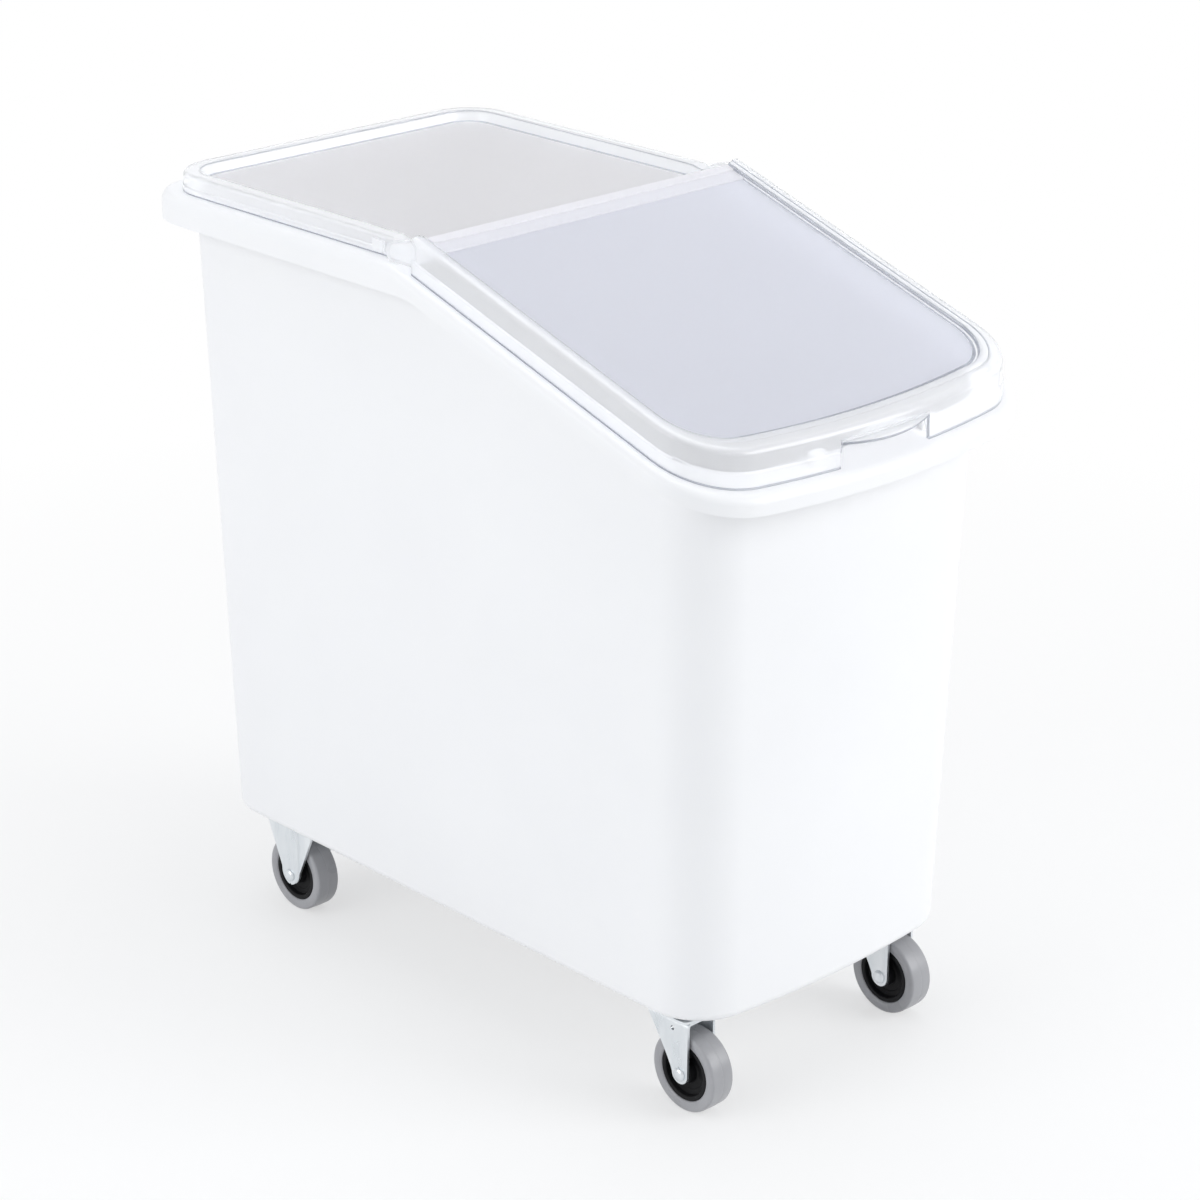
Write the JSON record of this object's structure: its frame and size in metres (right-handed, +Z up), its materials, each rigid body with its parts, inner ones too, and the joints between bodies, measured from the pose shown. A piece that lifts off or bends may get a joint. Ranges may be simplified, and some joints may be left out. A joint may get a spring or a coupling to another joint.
{
  "type": "rolling flour bin",
  "caption": "Rolling ingredient bin: drafted white tub with sloped front, clear lift-off rear cover, clear hinged front lid with grip notch, rigid and swivel casters.",
  "frame": {"origin": "on the floor under the middle of the rim's plan", "axes": "+Z up, the low sloped front with the grip faces -Y, +X is the bin's width"},
  "size_m": [0.418, 0.745, 0.7407],
  "materials": {
    "white_tub": "satin white food-grade polyethylene",
    "clear_lid": "clear polycarbonate",
    "zinc_steel": "bright zinc plate",
    "black_hub": "moulded black polypropylene",
    "grey_tread": "non-marking grey rubber"
  },
  "bodies": {
    "base": {"tub": "white_tub", "rim": "white_tub", "lugs": "white_tub", "front_left_plate": "zinc_steel", "front_left_balls": "zinc_steel", "front_left_kingpin": "zinc_steel", "front_left_bolts": "zinc_steel", "front_left_nuts": "zinc_steel", "front_right_plate": "zinc_steel", "front_right_balls": "zinc_steel", "front_right_kingpin": "zinc_steel", "front_right_bolts": "zinc_steel", "front_right_nuts": "zinc_steel", "rear_left_fork": "zinc_steel", "rear_left_axle": "zinc_steel", "rear_left_bolts": "zinc_steel", "rear_left_nuts": "zinc_steel", "rear_right_fork": "zinc_steel", "rear_right_axle": "zinc_steel", "rear_right_bolts": "zinc_steel", "rear_right_nuts": "zinc_steel"},
    "rear_cover": {"rear_cover": "clear_lid"},
    "front_lid": {"front_lid": "clear_lid"},
    "front_left_swivel": {"front_left_fork": "zinc_steel", "front_left_axle": "zinc_steel"},
    "front_left_wheel": {"front_left_bush": "zinc_steel", "front_left_hub": "black_hub", "front_left_tyre": "grey_tread"},
    "front_right_swivel": {"front_right_fork": "zinc_steel", "front_right_axle": "zinc_steel"},
    "front_right_wheel": {"front_right_bush": "zinc_steel", "front_right_hub": "black_hub", "front_right_tyre": "grey_tread"},
    "rear_left_wheel": {"rear_left_bush": "zinc_steel", "rear_left_hub": "black_hub", "rear_left_tyre": "grey_tread"},
    "rear_right_wheel": {"rear_right_bush": "zinc_steel", "rear_right_hub": "black_hub", "rear_right_tyre": "grey_tread"}
  },
  "joints": [
    {"name": "rear_cover_lift", "type": "slide", "parent": "base", "child": "rear_cover", "axis": [0, 0, 1], "range_m": [0, 0.15]},
    {"name": "front_lid_hinge", "type": "hinge", "parent": "rear_cover", "child": "front_lid", "pos_m": [0, 0.027, 0.723], "axis": [-1, 0, 0], "range_deg": [0, 120]},
    {"name": "front_left_swivel_turn", "type": "hinge", "parent": "base", "child": "front_left_swivel", "pos_m": [-0.13, -0.251, 0.097], "axis": [0, 0, 1], "continuous": true},
    {"name": "front_left_wheel_spin", "type": "hinge", "parent": "front_left_swivel", "child": "front_left_wheel", "pos_m": [-0.13, -0.279, 0.0375], "axis": [1, 0, 0], "continuous": true},
    {"name": "front_right_swivel_turn", "type": "hinge", "parent": "base", "child": "front_right_swivel", "pos_m": [0.13, -0.251, 0.097], "axis": [0, 0, 1], "continuous": true},
    {"name": "front_right_wheel_spin", "type": "hinge", "parent": "front_right_swivel", "child": "front_right_wheel", "pos_m": [0.13, -0.279, 0.0375], "axis": [1, 0, 0], "continuous": true},
    {"name": "rear_left_wheel_spin", "type": "hinge", "parent": "base", "child": "rear_left_wheel", "pos_m": [-0.13, 0.255, 0.0375], "axis": [1, 0, 0], "continuous": true},
    {"name": "rear_right_wheel_spin", "type": "hinge", "parent": "base", "child": "rear_right_wheel", "pos_m": [0.13, 0.255, 0.0375], "axis": [1, 0, 0], "continuous": true}
  ]
}
